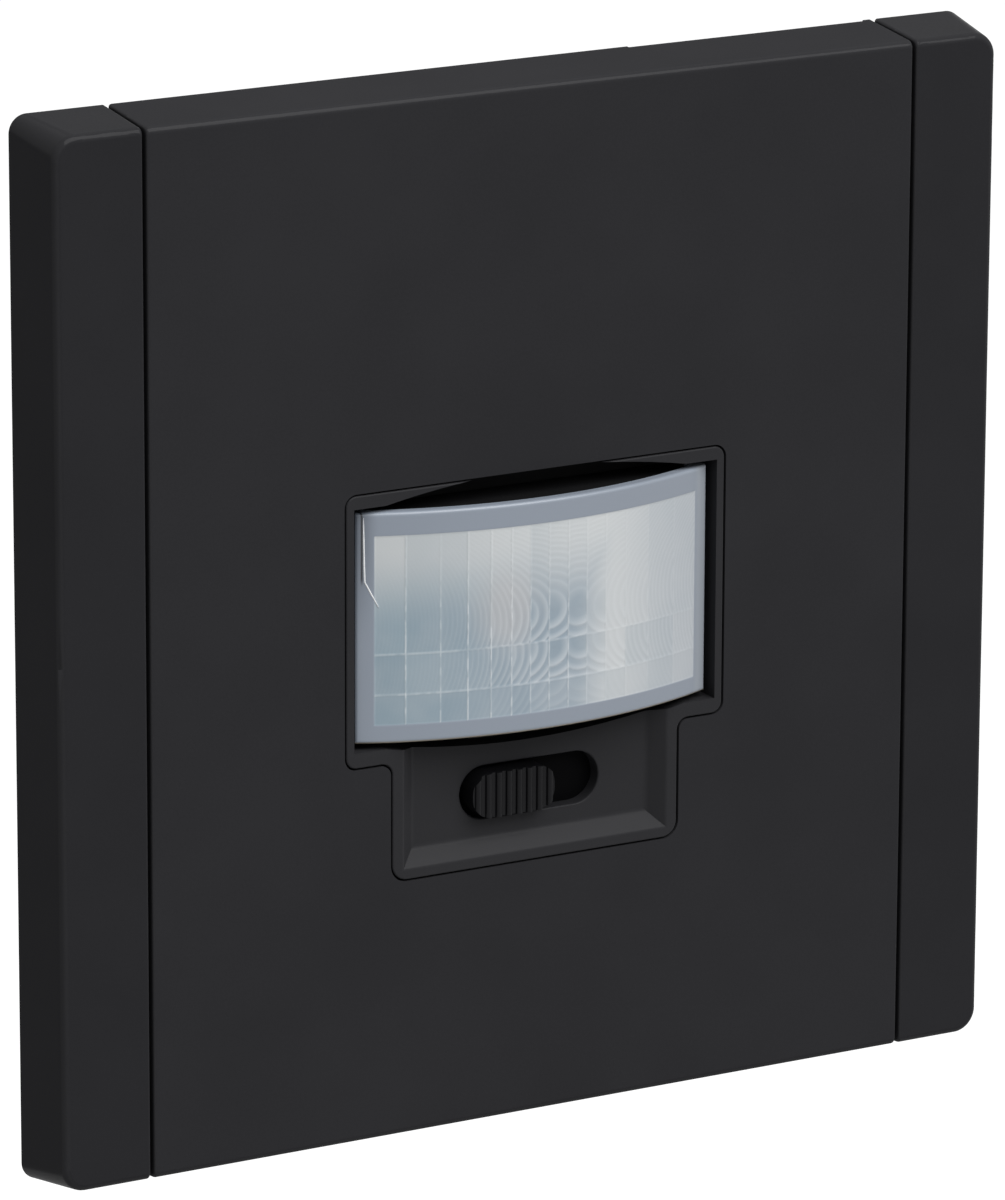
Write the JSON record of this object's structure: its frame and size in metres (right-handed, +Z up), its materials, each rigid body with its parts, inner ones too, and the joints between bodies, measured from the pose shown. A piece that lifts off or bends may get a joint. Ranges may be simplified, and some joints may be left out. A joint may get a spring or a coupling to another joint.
{
  "type": "motion sensor light switch",
  "caption": "Square flush wall plate with a frosted curved motion-sensor lens in a stepped bezel and a ribbed slide knob in a recessed panel, on a boxed switching module.",
  "frame": {"origin": "centre of the plate's outline, in the wall plane", "axes": "+X to the right and +Z up seen from the room, +Y into the wall"},
  "size_m": [0.086, 0.0387, 0.086],
  "materials": {
    "plate_plastic": "fine matte moulding, dark grey",
    "knob_plastic": "satin moulding, dark grey",
    "carriage_plastic": "satin moulding, grey",
    "lens_sheet": "frosted translucent polyethylene, pressed lens pattern",
    "carrier_plastic": "matte moulding, near black",
    "strap_steel": "bright zinc plating",
    "shell_plastic": "matte moulding, grey",
    "housing_plastic": "fine spark-eroded moulding, light grey",
    "screw_steel": "zinc-plated steel",
    "shroud_plastic": "matte moulding, black",
    "board_laminate": "glass laminate under green solder mask",
    "sensor_metal": "nickel-plated steel",
    "filter_glass": "dark infrared filter",
    "tinned_pins": "tinned wire",
    "photocell_resin": "clear resin",
    "switch_metal": "tinned steel case",
    "lever_plastic": "black acetal",
    "trimmer_plastic": "blue moulding",
    "dial_plastic": "white acetal",
    "chip_resin": "black moulding compound",
    "capacitor_sleeve": "dark sleeve over aluminium",
    "header_plastic": "black moulding",
    "sink_aluminium": "mill finish",
    "fuse_resin": "brown moulding",
    "film_box": "yellow box",
    "ferrite": "sintered ferrite",
    "enamelled_wire": "enamelled copper wire",
    "varistor_resin": "blue dipped coating",
    "bar_brass": "pressed brass",
    "cage_steel": "bright zinc plating"
  },
  "bodies": {
    "module": {"sensor_bezel": "plate_plastic", "fresnel_lens": "lens_sheet", "lens_carrier": "carrier_plastic", "support_strap": "strap_steel", "front_shell": "shell_plastic", "rear_housing": "housing_plastic", "housing_screws": "screw_steel", "optic_shroud": "shroud_plastic", "sensor_board": "board_laminate", "sensor_board_screws": "screw_steel", "pir_base": "sensor_metal", "pir_can": "sensor_metal", "pir_window": "filter_glass", "pir_pins": "tinned_pins", "light_sensor": "photocell_resin", "slide_switch_case": "switch_metal", "slide_switch_pins": "tinned_pins", "time_trimmer_case": "trimmer_plastic", "lux_trimmer_case": "trimmer_plastic", "control_chip": "chip_resin", "board_capacitor": "capacitor_sleeve", "header_blocks": "header_plastic", "header_pins": "tinned_pins", "power_board": "board_laminate", "power_board_screws": "screw_steel", "heat_sink": "sink_aluminium", "triac": "chip_resin", "triac_screw": "screw_steel", "mains_fuse": "fuse_resin", "film_capacitor": "film_box", "choke_core": "ferrite", "choke_winding": "enamelled_wire", "smoothing_capacitor": "capacitor_sleeve", "varistor": "varistor_resin", "bridge_rectifier": "chip_resin", "contact_bars": "bar_brass"},
    "cover": {"cover_frame": "plate_plastic", "centre_plate": "plate_plastic"},
    "selector": {"mode_knob": "knob_plastic", "knob_carriage": "carriage_plastic", "slide_switch_lever": "lever_plastic"},
    "time_trimmer": {"time_dial": "dial_plastic"},
    "lux_trimmer": {"lux_dial": "dial_plastic"},
    "line_clamp_screw": {"line_screw": "screw_steel"},
    "line_clamp_cage": {"line_cage": "cage_steel"},
    "load_clamp_screw": {"load_screw": "screw_steel"},
    "load_clamp_cage": {"load_cage": "cage_steel"}
  },
  "joints": [
    {"name": "cover_release", "type": "slide", "parent": "module", "child": "cover", "axis": [0, -1, 0], "range_m": [0, 0.008]},
    {"name": "mode_slide", "type": "slide", "parent": "module", "child": "selector", "axis": [1, 0, 0], "range_m": [0, 0.004]},
    {"name": "time_dial_turn", "type": "hinge", "parent": "module", "child": "time_trimmer", "pos_m": [-0.0105, 0, 0.02], "axis": [0, 1, 0], "range_deg": [-135, 135]},
    {"name": "lux_dial_turn", "type": "hinge", "parent": "module", "child": "lux_trimmer", "pos_m": [0.0105, 0, 0.02], "axis": [0, 1, 0], "range_deg": [-135, 135]},
    {"name": "line_screw_turn", "type": "hinge", "parent": "module", "child": "line_clamp_screw", "pos_m": [-0.009, 0.0225, -0.022], "axis": [0, 0, 1], "range_deg": [0, 1680]},
    {"name": "line_cage_slide", "type": "slide", "parent": "module", "child": "line_clamp_cage", "axis": [0, 0, -1], "range_m": [0, 0.0028]},
    {"name": "load_screw_turn", "type": "hinge", "parent": "module", "child": "load_clamp_screw", "pos_m": [0.009, 0.0225, -0.022], "axis": [0, 0, 1], "range_deg": [0, 1680]},
    {"name": "load_cage_slide", "type": "slide", "parent": "module", "child": "load_clamp_cage", "axis": [0, 0, -1], "range_m": [0, 0.0028]}
  ],
  "couplings": [
    {"joint": "line_screw_turn", "follows": "line_cage_slide", "rad_per_m": 10472},
    {"joint": "load_screw_turn", "follows": "load_cage_slide", "rad_per_m": 10472}
  ]
}
